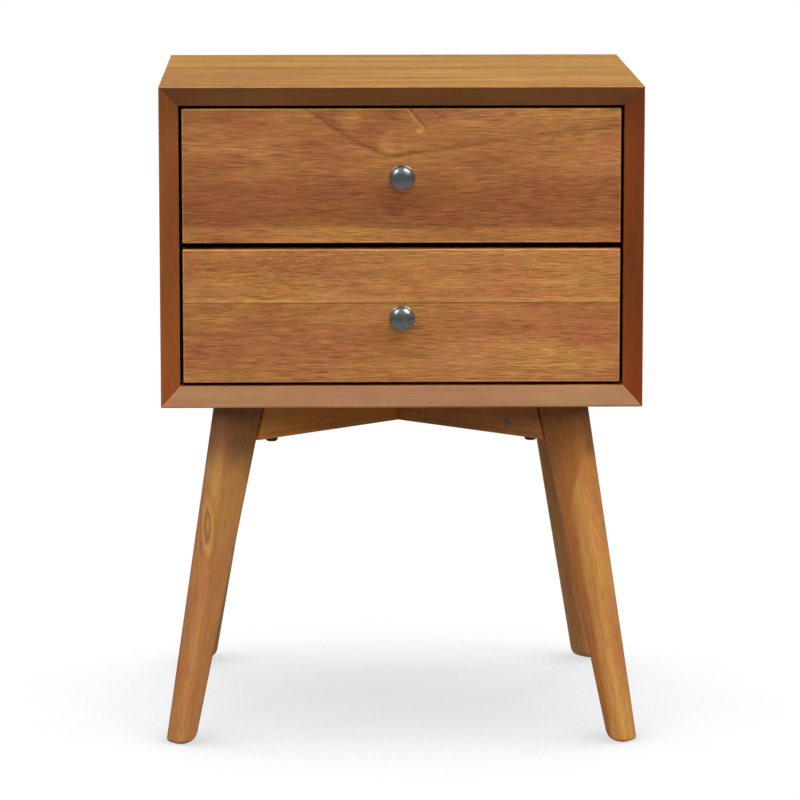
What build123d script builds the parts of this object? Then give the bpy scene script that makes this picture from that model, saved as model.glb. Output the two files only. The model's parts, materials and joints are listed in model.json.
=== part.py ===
from build123d import *
import os
from math import cos, radians, sin

# Nightstand with two drawers on a splayed-leg base, in millimetres.
# Origin on the floor under the middle of the object, +Z up, the drawer fronts face -Y.

# ---------------------------------------------------------------- driving dimensions
case_width = 457.0
case_depth = 381.0
total_height = 630.0
leg_height = 325.0            # floor to the underside of the case
side_thickness = 18.0         # upright boards of the case
cap_thickness = 19.0          # top and bottom boards of the case
rim_recess = 12.0             # how far the bevelled rim falls back to the opening
rim_flat = 1.2                # narrow flat left along the front arris
case_ease = 1.0               # rounding of the case's long corners
front_recess = 13.0           # front plane of the case to the drawer faces
reveal = 3.2                  # gap round the drawer fronts
front_gap = 6.2               # gap between the two drawer fronts
front_thickness = 18.0
front_ease = 1.0
rabbet_width = 8.0            # step that holds the back panel, into the boards
rabbet_depth = 6.5            # and forwards from their rear edges
back_thickness = 6.0
slide_space = 12.7            # room for one slide between the case and a drawer box
slide_length = 300.0
slide_travel = 290.0
box_depth = 310.0
box_height = 98.0
box_lift = 12.0               # underside of the box above the lower edge of its front
box_thickness = 12.0
bottom_thickness = 5.0
groove_depth = 6.0
groove_lift = 8.0             # groove above the underside of the drawer box
diagonal = radians(41.3)      # plan angle of the base rails from the X axis
leg_thickness = 25.0          # across the diagonal
leg_top_width = 50.0          # along the diagonal, at the case
leg_foot_width = 23.5
leg_radius = 7.0
leg_top_reach = 206.0         # plan distance from the centre to the leg's middle, at the case
leg_foot_reach = 283.2        # the same at the floor
back_foot_tuck = 12.0         # the back feet stand this much nearer the middle in X
foot_ease = 3.0
rail_height = 40.6
rail_thickness = 22.0
knob_radius = 12.4
knob_length = 24.0
fit = 0.05                    # clearance round pins, screws and balls
wood_fit = 0.1                # clearance of a panel or tongue in its groove
bore_extra = 1.0              # depth of a bore beyond the end of what it holds
slide_setback = 2.0           # from the drawer front to the ends of its slides
stud_drop = 28.0              # from the case down to the studs

# ---------------------------------------------------------------- derived places
half_width = case_width / 2
half_depth = case_depth / 2
inner_half = half_width - side_thickness
ceiling = total_height - cap_thickness
shelf = leg_height + cap_thickness
case_middle = (total_height + leg_height) / 2
case_height = total_height - leg_height
face_y = front_recess - half_depth
box_front_y = face_y + front_thickness
box_back_y = box_front_y + box_depth
box_half = inner_half - slide_space
box_inner_half = box_half - box_thickness
front_height = (ceiling - shelf - 2 * reveal - front_gap) / 2
front_width = 2 * (inner_half - reveal)
back_y = half_depth - rabbet_depth
slide_start = box_front_y + slide_setback
rail_bottom = leg_height - rail_height
stud_height = leg_height - stud_drop
drawers = {
    "upper": ceiling - reveal - front_height,
    "lower": shelf + reveal,
}

os.makedirs("parts", exist_ok=True)


def save(piece, name):
    """Write one piece to its own file."""
    piece.part.label = name
    export_step(piece.part, f"parts/{name}.step")


def place(shape, locations, name):
    """Write copies of one fastener as a group of separate solids."""
    with BuildPart() as group:
        with Locations(*locations):
            add(shape)
    save(group, name)


def aim(x, y, z, out):
    """Location whose local +Z points along out: a fastener goes in the other way."""
    return Plane(origin=(x, y, z), z_dir=out).location


# ---------------------------------------------------------------- fasteners, made once
head_ease = 0.6               # rounding of a screw head, in head heights
socket_size = 0.36            # hexagon socket, in head radii
socket_depth = 0.6            # in head heights


def flat_screw(shank, length, head, head_height, gap=0.0):
    """Countersunk screw with its face at local z = 0, pointing down local -Z."""
    with BuildPart() as screw:
        with BuildSketch(Plane.XZ):
            with BuildLine():
                Polyline(
                    (0, 0),
                    (head + gap, 0),
                    (shank + gap, -head_height),
                    (shank + gap, -length - gap),
                    (0, -length - gap),
                    close=True,
                )
            make_face()
        revolve(axis=Axis.Z)
    return screw.part


def pan_screw(shank, length, head, head_height):
    """Round-headed screw with the underside of its head at local z = 0."""
    with BuildPart() as screw:
        with BuildSketch():
            Circle(head)
        extrude(amount=head_height)
        fillet(screw.faces().sort_by(Axis.Z)[-1].edges(), head_height * head_ease)
        with BuildSketch(Plane.XY.offset(head_height)):
            RegularPolygon(head * socket_size, 6)
        extrude(amount=-head_height * socket_depth, mode=Mode.SUBTRACT)
        with BuildSketch():
            Circle(shank)
        extrude(amount=-length)
    return screw.part


def pin(radius, length):
    """Plain pin from local z = 0 down to -length."""
    with BuildPart() as body:
        with BuildSketch():
            Circle(radius)
        extrude(amount=-length)
    return body.part


# ---------------------------------------------------------------- case
spline_thickness = 3.2
spline_width = 12.0
spline_length = 330.0
insert_radius = 5.0
insert_length = 13.0
slide_screw_shank = 1.6
slide_screw_length = 13.0
slide_screw_head = 2.9
web_thickness = 1.2
slide_screw_setbacks = (25.0, 150.0, 275.0)
slide_screw_ys = [slide_start + setback for setback in slide_screw_setbacks]


def slide_height(lower_edge):
    """Centre line of a drawer's slides."""
    return lower_edge + box_lift + box_height / 2


def leg_corner(side, end):
    """Unit plan directions of one corner of the base: towards the leg, and across it."""
    towards = Vector(side * cos(diagonal), end * sin(diagonal), 0)
    return towards, Vector(-towards.Y, towards.X, 0)


def base_point(side, end, reach, across, height):
    towards, sideways = leg_corner(side, end)
    return towards * reach + sideways * across + Vector(0, 0, height)


corners = [(side, end) for side in (-1, 1) for end in (-1, 1)]
base_bolt_reach = 167.0
base_bolt_across = 1.5
base_bolt_radius = 2.5
insert_spots = [
    base_point(side, end, base_bolt_reach, base_bolt_across, leg_height) for side, end in corners
]

# Each mitred corner holds one loose tongue square to the mitre.
mitre_run = Vector(side_thickness, 0, cap_thickness)
spline_planes = []
for side in (-1, 1):
    for lift, edge in ((-1, total_height), (1, leg_height)):
        centre = Vector(side * (half_width - side_thickness / 2), 0, edge + lift * cap_thickness / 2)
        along_mitre = Vector(-side * mitre_run.X, 0, lift * mitre_run.Z)
        spline_planes.append(Plane(origin=centre, x_dir=along_mitre, z_dir=(0, 1, 0)))


def spline_body(plane, gap):
    with BuildPart() as tongue:
        with BuildSketch(plane):
            Rectangle(spline_thickness + 2 * gap, spline_width + 2 * gap)
        extrude(amount=spline_length / 2 + gap, both=True)
    return tongue.part


spline_slots = [spline_body(plane, wood_fit) for plane in spline_planes]
with BuildPart() as mitre_splines:
    for plane in spline_planes:
        add(spline_body(plane, 0))
save(mitre_splines, "mitre_splines")

# Screws that hold the back panel to the rabbets.
back_screw_shank = 1.5
back_screw_length = 15.0
back_screw_head = 2.9
back_screw_sink = 1.6
back_screw_inset = rabbet_width / 2
back_screw_xs = (-130.0, 0.0, 130.0)
back_screw_heights = (400.0, 555.0)
back_face = back_y + back_thickness
screw_x = inner_half + back_screw_inset
screw_low = shelf - back_screw_inset
screw_high = ceiling + back_screw_inset
back_screw_spots = [
    aim(x, back_face, z, (0, 1, 0)) for x in back_screw_xs for z in (screw_low, screw_high)
]
back_screw_spots += [
    aim(side * screw_x, back_face, z, (0, 1, 0)) for side in (-1, 1) for z in back_screw_heights
]
back_screw = flat_screw(back_screw_shank, back_screw_length, back_screw_head, back_screw_sink)
back_screw_hole = flat_screw(back_screw_shank, back_screw_length, back_screw_head, back_screw_sink, fit)
place(back_screw, back_screw_spots, "back_panel_screws")


def board_section(thickness):
    """Outline across a board: x runs front to back, y outwards, the outer face at y = 0."""
    return Polyline(
        (-half_depth, 0),
        (half_depth, 0),
        (half_depth, rabbet_width - thickness),
        (back_y, rabbet_width - thickness),
        (back_y, -thickness),
        (rim_recess - half_depth, -thickness),
        (-half_depth, -rim_flat),
        close=True,
    )


def case_board(outer_face, thickness, outline):
    """Mitred board of the case: its end-on outline, cut to the bevelled section."""
    with BuildPart() as board:
        with BuildSketch(Plane.XZ):
            with BuildLine():
                Polyline(*outline, close=True)
            make_face()
            with Locations((0, case_middle)):
                RectangleRounded(case_width, case_height, case_ease, mode=Mode.INTERSECT)
        extrude(amount=half_depth, both=True)
        with BuildSketch(outer_face):
            with BuildLine():
                board_section(thickness)
            make_face()
        extrude(amount=case_width, both=True, mode=Mode.INTERSECT)
        for slot in spline_slots:
            add(slot, mode=Mode.SUBTRACT)
        with Locations(*back_screw_spots):
            add(back_screw_hole, mode=Mode.SUBTRACT)
    return board.part


def corner_points(side, edge, inner_edge):
    return (side * half_width, edge), (side * inner_half, inner_edge)


top_left, top_left_in = corner_points(-1, total_height, ceiling)
top_right, top_right_in = corner_points(1, total_height, ceiling)
low_left, low_left_in = corner_points(-1, leg_height, shelf)
low_right, low_right_in = corner_points(1, leg_height, shelf)

with BuildPart() as top_panel:
    add(
        case_board(
            Plane(origin=(0, 0, total_height), x_dir=(0, 1, 0), z_dir=(1, 0, 0)),
            cap_thickness,
            [top_left, top_right, top_right_in, top_left_in],
        )
    )
save(top_panel, "top_panel")

with BuildPart() as bottom_panel:
    add(
        case_board(
            Plane(origin=(0, 0, leg_height), x_dir=(0, 1, 0), z_dir=(-1, 0, 0)),
            cap_thickness,
            [low_left, low_left_in, low_right_in, low_right],
        )
    )
    with Locations(*[aim(*spot, (0, 0, -1)) for spot in insert_spots]):
        Hole(insert_radius + fit, insert_length + bore_extra)
save(bottom_panel, "bottom_panel")

# Screws through the slides' webs into the side boards.
slide_screw = flat_screw(slide_screw_shank, slide_screw_length, slide_screw_head, web_thickness)
slide_screw_hole = flat_screw(slide_screw_shank, slide_screw_length, slide_screw_head, web_thickness, fit)
cabinet_screw_spots = [
    aim(side * (inner_half - web_thickness), y, slide_height(lower_edge), (-side, 0, 0))
    for side in (-1, 1)
    for lower_edge in drawers.values()
    for y in slide_screw_ys
]
place(slide_screw, cabinet_screw_spots, "cabinet_slide_screws")

for name, side, outline in (
    ("left", -1, [low_left, top_left, top_left_in, low_left_in]),
    ("right", 1, [low_right, low_right_in, top_right_in, top_right]),
):
    with BuildPart() as side_panel:
        add(
            case_board(
                Plane(origin=(side * half_width, 0, case_middle), x_dir=(0, 1, 0), z_dir=(0, 0, -side)),
                side_thickness,
                outline,
            )
        )
        with Locations(*cabinet_screw_spots):
            add(slide_screw_hole, mode=Mode.SUBTRACT)
    save(side_panel, f"{name}_side_panel")

with BuildPart() as back_panel:
    with BuildSketch(Plane.XZ.offset(-back_y)):
        with Locations((0, case_middle)):
            Rectangle(
                2 * (inner_half + rabbet_width - wood_fit),
                ceiling - shelf + 2 * (rabbet_width - wood_fit),
            )
    extrude(amount=-back_thickness)
    with Locations(*back_screw_spots):
        add(back_screw_hole, mode=Mode.SUBTRACT)
save(back_panel, "back_panel")

# ---------------------------------------------------------------- slides
# Section of one slide, measured from the case side: u goes towards the drawer.
channel_half = 22.5           # half the height of the cabinet member
ball_gap = 3.2                # between the flanges of nested members
ball_radius = ball_gap / 2 - fit
middle_half = channel_half - web_thickness - ball_gap
inner_member_half = middle_half - web_thickness - ball_gap
cage_sheet = 0.6
cage_setback = 77.0
cage_start = slide_start + cage_setback
cage_length = 140.0
balls_per_row = 5
cabinet_lip_u = 10.2
middle_web_u = 2.6
middle_lip_u = 10.8
inner_lip_u = 5.4
outer_cage_web_u = 1.6
outer_cage_lip_u = 9.6
outer_ball_u = 6.0
inner_cage_web_u = 4.3
inner_cage_lip_u = 10.6
inner_ball_u = 8.0


def channel(u_web, u_lip, half_height, sheet):
    """Right-hand C section as (u, z) points, its web at u_web and its flanges ending at u_lip."""
    inward = 1 if u_lip > u_web else -1
    return [
        (u_web, -half_height),
        (u_lip, -half_height),
        (u_lip, sheet - half_height),
        (u_web + inward * sheet, sheet - half_height),
        (u_web + inward * sheet, half_height - sheet),
        (u_lip, half_height - sheet),
        (u_lip, half_height),
        (u_web, half_height),
    ]


def channel_body(side, height, section, start, length):
    """A channel along Y on one side of the case."""
    with BuildPart() as member:
        with BuildSketch(Plane.XZ.offset(-start)):
            with BuildLine():
                Polyline(*[(side * (inner_half - u), height + z) for u, z in section], close=True)
            make_face()
        extrude(amount=-length)
    return member.part


def ball_cage(side, height, u_web, u_lip, row_height, u_ball):
    """Bent retainer with its two rows of balls."""
    half = row_height + cage_sheet / 2
    ball_spots = [
        (side * (inner_half - u_ball), cage_start + cage_length * (k + 0.5) / balls_per_row, height + row)
        for k in range(balls_per_row)
        for row in (-row_height, row_height)
    ]
    with BuildPart() as cage:
        add(channel_body(side, height, channel(u_web, u_lip, half, cage_sheet), cage_start, cage_length))
        with Locations(*ball_spots):
            Cylinder(ball_radius + fit, 2 * ball_gap, mode=Mode.SUBTRACT)
        with Locations(*ball_spots):
            Sphere(ball_radius)
    return cage.part


cabinet_section = channel(0, cabinet_lip_u, channel_half, web_thickness)
middle_section = channel(middle_web_u, middle_lip_u, middle_half, web_thickness)
inner_section = channel(slide_space, inner_lip_u, inner_member_half, web_thickness)
outer_row = channel_half - web_thickness - ball_gap / 2
inner_row = middle_half - web_thickness - ball_gap / 2

for name, lower_edge in drawers.items():
    height = slide_height(lower_edge)
    for hand, side in (("left", -1), ("right", 1)):
        with BuildPart() as cabinet_member:
            add(channel_body(side, height, cabinet_section, slide_start, slide_length))
            with Locations(*cabinet_screw_spots):
                add(slide_screw_hole, mode=Mode.SUBTRACT)
        save(cabinet_member, f"{name}_{hand}_cabinet_member")
        with BuildPart() as middle_member:
            add(channel_body(side, height, middle_section, slide_start, slide_length))
        save(middle_member, f"{name}_{hand}_middle_member")
    with BuildPart() as outer_cages:
        for side in (-1, 1):
            add(ball_cage(side, height, outer_cage_web_u, outer_cage_lip_u, outer_row, outer_ball_u))
    save(outer_cages, f"{name}_outer_ball_cages")
    with BuildPart() as inner_cages:
        for side in (-1, 1):
            add(ball_cage(side, height, inner_cage_web_u, inner_cage_lip_u, inner_row, inner_ball_u))
    save(inner_cages, f"{name}_inner_ball_cages")

# ---------------------------------------------------------------- drawers
front_screw_shank = 2.0
front_screw_length = 25.0
front_screw_head = 4.0
front_screw_head_height = 2.5
front_screw_x = 140.0
front_screw_spread = 30.0     # screws above and below the middle of the box
knob_screw_grip = 10.0
knob_screw_length = box_thickness + front_thickness + knob_screw_grip
dowel_radius = 3.0
dowel_length = 30.0
dowel_spread = 28.0           # dowels above and below the middle of the box
box_ease = 2.0                # rounding along the top of the box sides
# The knob's profile, as radii and distances out from the drawer front.
knob_neck = 4.5
knob_foot = 7.0
knob_foot_edge = 2.0
knob_neck_start = 4.0
knob_neck_end = 9.0
knob_flare_radius = 6.75
knob_flare = 13.0
knob_underside = 14.5
knob_rim_start = 15.2
knob_rim_end = 17.0
knob_dome_start = 17.8
knob_under_radius = 11.8
knob_dome_radius = 11.6

front_screw = pan_screw(front_screw_shank, front_screw_length, front_screw_head, front_screw_head_height)
knob_screw = pan_screw(front_screw_shank, knob_screw_length, front_screw_head, front_screw_head_height)
dowel = pin(dowel_radius, dowel_length)


def knob_body(height):
    """Domed knob turned about its own axis, which points out of the drawer front."""
    with BuildPart() as knob:
        with BuildSketch(Plane(origin=(0, face_y, height), x_dir=(1, 0, 0), z_dir=(0, 0, 1))):
            with BuildLine():
                Polyline(
                    (0, 0),
                    (knob_foot, 0),
                    (knob_foot, -knob_foot_edge),
                    (knob_neck, -knob_neck_start),
                    (knob_neck, -knob_neck_end),
                )
                ThreePointArc(
                    (knob_neck, -knob_neck_end),
                    (knob_flare_radius, -knob_flare),
                    (knob_under_radius, -knob_underside),
                )
                Polyline(
                    (knob_under_radius, -knob_underside),
                    (knob_radius, -knob_rim_start),
                    (knob_radius, -knob_rim_end),
                    (knob_dome_radius, -knob_dome_start),
                )
                TangentArc((0, -knob_length), (knob_dome_radius, -knob_dome_start), tangent=(1, 0))
                Line((0, -knob_length), (0, 0))
            make_face()
        revolve(axis=Axis((0, face_y, height), (0, 1, 0)))
        with Locations(aim(0, face_y, height, (0, 1, 0))):
            Hole(front_screw_shank + fit, knob_screw_grip + bore_extra)
    return knob.part


def box_groove(plane, width, low):
    """Cutter for the groove that takes the drawer bottom."""
    with BuildPart() as groove:
        with BuildSketch(plane):
            with Locations((0, low + groove_lift + bottom_thickness / 2 + wood_fit)):
                Rectangle(width, bottom_thickness + 2 * wood_fit)
        extrude(amount=groove_depth, both=True)
    return groove.part


for name, lower_edge in drawers.items():
    middle = lower_edge + front_height / 2
    low = lower_edge + box_lift
    box_middle = low + box_height / 2
    height = slide_height(lower_edge)
    inner_front_y = box_front_y + box_thickness
    inner_back_y = box_back_y - box_thickness
    front_screw_spots = [
        aim(side * front_screw_x, inner_front_y, box_middle + dz, (0, 1, 0))
        for side in (-1, 1)
        for dz in (-front_screw_spread, front_screw_spread)
    ]
    knob_spot = aim(0, inner_front_y, middle, (0, 1, 0))
    dowel_spots = [
        aim(side * box_half, y, box_middle + dz, (side, 0, 0))
        for side in (-1, 1)
        for y in (box_front_y + box_thickness / 2, box_back_y - box_thickness / 2)
        for dz in (-dowel_spread, dowel_spread)
    ]
    drawer_screw_spots = [
        aim(side * (box_half + web_thickness), y, height, (side, 0, 0))
        for side in (-1, 1)
        for y in slide_screw_ys
    ]

    with BuildPart() as front:
        with BuildSketch(Plane.XZ.offset(-face_y)):
            with Locations((0, middle)):
                RectangleRounded(front_width, front_height, front_ease)
        extrude(amount=-front_thickness)
        fillet(front.faces().sort_by(Axis.Y)[0].edges(), front_ease)
        with Locations(*front_screw_spots):
            Hole(front_screw_shank + fit, front_screw_length + bore_extra)
        with Locations(knob_spot):
            Hole(front_screw_shank + fit, knob_screw_length)
    save(front, f"{name}_drawer_front")

    for end, y in (("front", box_front_y), ("back", inner_back_y)):
        groove_y = inner_front_y if end == "front" else inner_back_y
        with BuildPart() as box_end:
            with BuildSketch(Plane.XZ.offset(-y)):
                with Locations((0, box_middle)):
                    Rectangle(2 * box_inner_half, box_height)
            extrude(amount=-box_thickness)
            add(box_groove(Plane.XZ.offset(-groove_y), 2 * box_half, low), mode=Mode.SUBTRACT)
            with Locations(*dowel_spots):
                Hole(dowel_radius + fit, dowel_length + bore_extra)
            if end == "front":
                with Locations(*front_screw_spots, knob_spot):
                    Hole(front_screw_shank + fit, box_thickness + bore_extra)
        save(box_end, f"{name}_box_{end}")

    for hand, side in (("left", -1), ("right", 1)):
        with BuildPart() as box_side:
            with BuildSketch(Plane.YZ.offset(side * box_inner_half)):
                with Locations(((box_front_y + box_back_y) / 2, box_middle)):
                    Rectangle(box_depth, box_height)
            extrude(amount=side * box_thickness)
            fillet(box_side.faces().sort_by(Axis.Z)[-1].edges().filter_by(Axis.Y), box_ease)
            add(
                box_groove(Plane.YZ.offset(side * box_inner_half), 2 * box_depth, low),
                mode=Mode.SUBTRACT,
            )
            with Locations(*dowel_spots):
                Hole(dowel_radius + fit, dowel_length + bore_extra)
            with Locations(*drawer_screw_spots):
                add(slide_screw_hole, mode=Mode.SUBTRACT)
        save(box_side, f"{name}_box_{hand}_side")

        with BuildPart() as drawer_member:
            add(channel_body(side, height, inner_section, slide_start, slide_length))
            with Locations(*drawer_screw_spots):
                add(slide_screw_hole, mode=Mode.SUBTRACT)
        save(drawer_member, f"{name}_{hand}_drawer_member")

    tongue = groove_depth - 2 * wood_fit
    with BuildPart() as box_bottom:
        with BuildSketch(Plane.XY.offset(low + groove_lift + wood_fit)):
            with Locations((0, (inner_front_y + inner_back_y) / 2)):
                Rectangle(2 * (box_inner_half + tongue), inner_back_y - inner_front_y + 2 * tongue)
        extrude(amount=bottom_thickness)
    save(box_bottom, f"{name}_box_bottom")

    with BuildPart() as knob:
        add(knob_body(middle))
    save(knob, f"{name}_knob")

    place(front_screw, front_screw_spots, f"{name}_front_screws")
    place(knob_screw, [knob_spot], f"{name}_knob_screw")
    place(dowel, dowel_spots, f"{name}_box_dowels")
    place(slide_screw, drawer_screw_spots, f"{name}_drawer_slide_screws")

# ---------------------------------------------------------------- base
stud_radius = 3.0
stud_across = -4.5            # the studs pass beside the upright bolts
stud_in_leg = 24.0
stud_in_rail = 58.0
barrel_radius = 5.0
barrel_length = 15.0
barrel_setback = 40.0         # from the leg's inner face
barrel_slot_width = 1.0
barrel_slot_depth = 1.2
base_bolt_head = 6.0
base_bolt_head_height = 4.5
lap_cut_length = 90.0         # longer than the slanting crossing of the rails


def leg_centre(side, end, height):
    """Middle of a leg's section at one height."""
    foot_x = leg_foot_reach * cos(diagonal) - (back_foot_tuck if end > 0 else 0)
    foot = Vector(side * foot_x, end * leg_foot_reach * sin(diagonal), 0)
    towards, sideways = leg_corner(side, end)
    top = towards * leg_top_reach + Vector(0, 0, leg_height)
    return foot + (top - foot) * (height / leg_height)


def leg_width(height):
    return leg_foot_width + (leg_top_width - leg_foot_width) * height / leg_height


def inner_reach(side, end, height):
    """Plan distance from the centre to the leg's inner face, where the rail ends."""
    towards, sideways = leg_corner(side, end)
    return leg_centre(side, end, height).dot(towards) - leg_width(height) / 2


def base_location(side, end, reach, across, height, out):
    spot = base_point(side, end, reach, across, height)
    return Plane(origin=spot, z_dir=out).location


def stud_location(side, end):
    """Inner end of the stud; the stud points from the rail into the leg."""
    towards, sideways = leg_corner(side, end)
    reach = inner_reach(side, end, stud_height) - stud_in_rail
    return base_location(side, end, reach, stud_across, stud_height, towards * -1)


def barrel_location(side, end):
    """Open end of the cross hole for the barrel nut, on the rail's side face."""
    towards, sideways = leg_corner(side, end)
    reach = inner_reach(side, end, stud_height) - barrel_setback
    return base_location(side, end, reach, -rail_thickness / 2, stud_height, sideways * -1)


stud_spots = [stud_location(side, end) for side, end in corners]
barrel_spots = [barrel_location(side, end) for side, end in corners]
bolt_spots = [
    base_location(side, end, base_bolt_reach, base_bolt_across, rail_bottom, (0, 0, -1))
    for side, end in corners
]
leg_names = {(-1, -1): "front_left", (1, -1): "front_right", (-1, 1): "back_left", (1, 1): "back_right"}

for (side, end), name in leg_names.items():
    towards, sideways = leg_corner(side, end)
    with BuildPart() as leg:
        for height in (0, leg_height):
            with BuildSketch(Plane(leg_centre(side, end, height), x_dir=towards, z_dir=(0, 0, 1))):
                RectangleRounded(leg_width(height), leg_thickness, leg_radius)
        loft(ruled=True)
        fillet(leg.faces().sort_by(Axis.Z)[0].edges(), foot_ease)
        with Locations(stud_location(side, end)):
            Hole(stud_radius + fit, stud_in_rail + stud_in_leg + bore_extra)
    save(leg, f"{name}_leg")

# Two half-lapped rails cross under the middle of the case.
lap_height = rail_bottom + rail_height / 2
rails = {
    "front_left_to_back_right_rail": ((-1, -1), (1, 1), 1),
    "front_right_to_back_left_rail": ((1, -1), (-1, 1), -1),
}
for name, (front_corner, back_corner, lap_side) in rails.items():
    towards, sideways = leg_corner(*front_corner)
    other = leg_corner(-front_corner[0], front_corner[1])[0]
    with BuildPart() as rail:
        with BuildSketch(Plane(origin=(0, 0, 0), x_dir=towards, z_dir=sideways * -1)):
            with BuildLine():
                Polyline(
                    (inner_reach(*front_corner, rail_bottom), rail_bottom),
                    (inner_reach(*front_corner, leg_height), leg_height),
                    (-inner_reach(*back_corner, leg_height), leg_height),
                    (-inner_reach(*back_corner, rail_bottom), rail_bottom),
                    close=True,
                )
            make_face()
        extrude(amount=rail_thickness / 2, both=True)
        with BuildSketch(Plane(origin=(0, 0, lap_height), x_dir=other, z_dir=(0, 0, 1))):
            Rectangle(lap_cut_length, rail_thickness + 2 * wood_fit)
        extrude(amount=lap_side * rail_height, mode=Mode.SUBTRACT)
        with Locations(*stud_spots):
            Hole(stud_radius + fit, stud_in_rail + bore_extra)
        with Locations(*barrel_spots):
            Hole(barrel_radius + fit, barrel_length + bore_extra)
        with Locations(*bolt_spots):
            Hole(base_bolt_radius + fit, rail_height + bore_extra)
    save(rail, name)

place(pin(stud_radius, stud_in_rail + stud_in_leg), stud_spots, "leg_studs")
with BuildPart() as barrel:
    with BuildSketch():
        Circle(barrel_radius)
    extrude(amount=-barrel_length)
    with BuildSketch():
        Rectangle(barrel_radius, barrel_slot_width)
    extrude(amount=-barrel_slot_depth, mode=Mode.SUBTRACT)
    with Locations(Plane(origin=(barrel_radius * 2, 0, -rail_thickness / 2 - stud_across), z_dir=(1, 0, 0))):
        Hole(stud_radius + fit, barrel_radius * 4)
place(barrel.part, barrel_spots, "barrel_nuts")

bolt_length = rail_height + insert_length - bore_extra
base_bolt = pan_screw(base_bolt_radius, bolt_length, base_bolt_head, base_bolt_head_height)
place(base_bolt, bolt_spots, "base_bolts")
with BuildPart() as insert:
    with BuildSketch():
        Circle(insert_radius)
        Circle(base_bolt_radius + fit, mode=Mode.SUBTRACT)
    extrude(amount=-insert_length)
place(insert.part, [aim(*spot, (0, 0, -1)) for spot in insert_spots], "threaded_inserts")
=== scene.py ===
import json
import math

import bmesh
import bpy
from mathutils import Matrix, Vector


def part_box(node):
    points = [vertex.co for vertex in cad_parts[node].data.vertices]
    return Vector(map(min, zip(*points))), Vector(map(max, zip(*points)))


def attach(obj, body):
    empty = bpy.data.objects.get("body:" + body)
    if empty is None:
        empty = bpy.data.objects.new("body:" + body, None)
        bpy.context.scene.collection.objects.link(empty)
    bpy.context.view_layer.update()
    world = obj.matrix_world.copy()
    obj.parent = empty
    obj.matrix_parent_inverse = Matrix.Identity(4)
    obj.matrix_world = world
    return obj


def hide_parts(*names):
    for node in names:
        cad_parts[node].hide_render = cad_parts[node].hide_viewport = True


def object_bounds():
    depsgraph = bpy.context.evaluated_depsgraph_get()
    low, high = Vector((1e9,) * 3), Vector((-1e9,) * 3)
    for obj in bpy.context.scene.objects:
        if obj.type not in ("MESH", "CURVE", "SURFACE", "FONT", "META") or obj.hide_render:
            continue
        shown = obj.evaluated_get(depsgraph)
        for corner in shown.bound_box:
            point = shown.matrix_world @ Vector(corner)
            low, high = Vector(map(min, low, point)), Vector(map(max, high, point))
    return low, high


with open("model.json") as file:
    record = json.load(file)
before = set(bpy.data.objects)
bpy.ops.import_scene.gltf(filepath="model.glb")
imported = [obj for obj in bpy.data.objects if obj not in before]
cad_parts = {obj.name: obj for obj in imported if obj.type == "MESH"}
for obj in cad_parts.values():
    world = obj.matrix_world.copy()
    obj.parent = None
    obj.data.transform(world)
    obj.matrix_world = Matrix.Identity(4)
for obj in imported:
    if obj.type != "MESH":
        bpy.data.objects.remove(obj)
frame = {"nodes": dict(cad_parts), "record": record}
cad_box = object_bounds()

record = frame["record"]
node_body = {n: body for body, nodes in record["behaviour"]["bodies"].items() for n in nodes}
node_slot = {s["node"]: s["material_slot"] for s in record["subparts"]}

X, Y, Z = Vector((1, 0, 0)), Vector((0, 1, 0)), Vector((0, 0, 1))


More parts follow.
